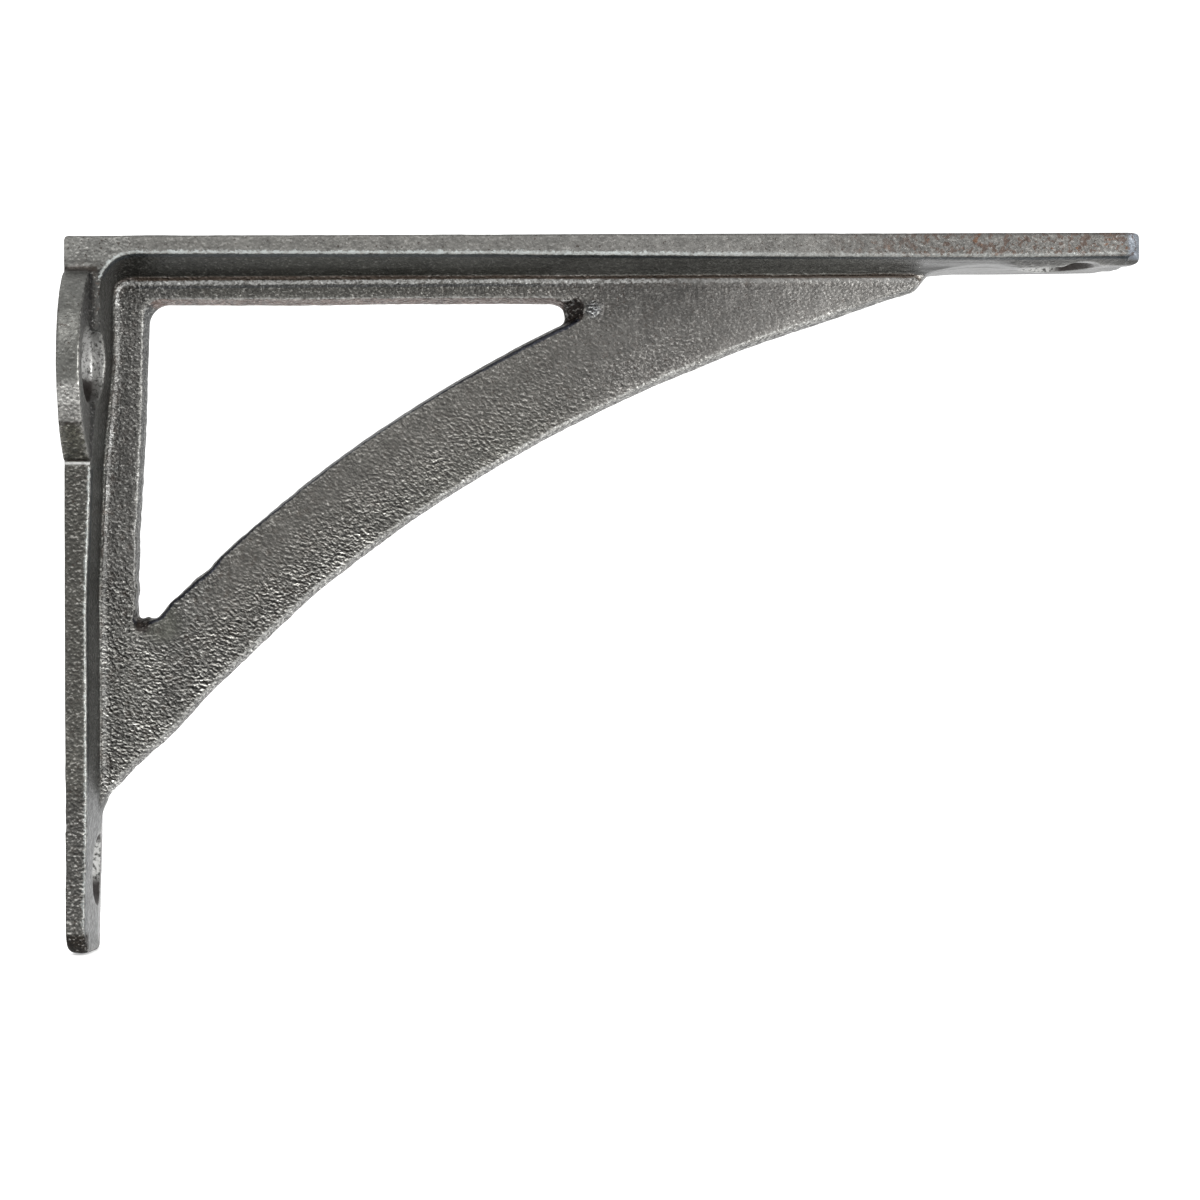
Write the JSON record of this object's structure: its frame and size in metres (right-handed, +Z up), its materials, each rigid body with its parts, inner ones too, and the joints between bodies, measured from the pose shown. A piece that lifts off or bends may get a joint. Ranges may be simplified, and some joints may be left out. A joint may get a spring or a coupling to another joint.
{
  "type": "cast iron shelf bracket",
  "caption": "Triangular cast iron shelf bracket with a curved open brace, a drilled shelf arm and a drilled wall arm with round screw ears.",
  "frame": {"origin": "centre of the bracket's back, on the face that lies on the wall, half way up and half way across", "axes": "+X out from the wall along the shelf arm, +Y across the bracket, +Z up"},
  "size_m": [0.1528, 0.0384, 0.102],
  "materials": {
    "bracket": "bare sand-cast iron, dull grey, worn bright on edges, ground under the tip"
  },
  "bodies": {
    "root": {"bracket": "bracket"}
  },
  "joints": []
}
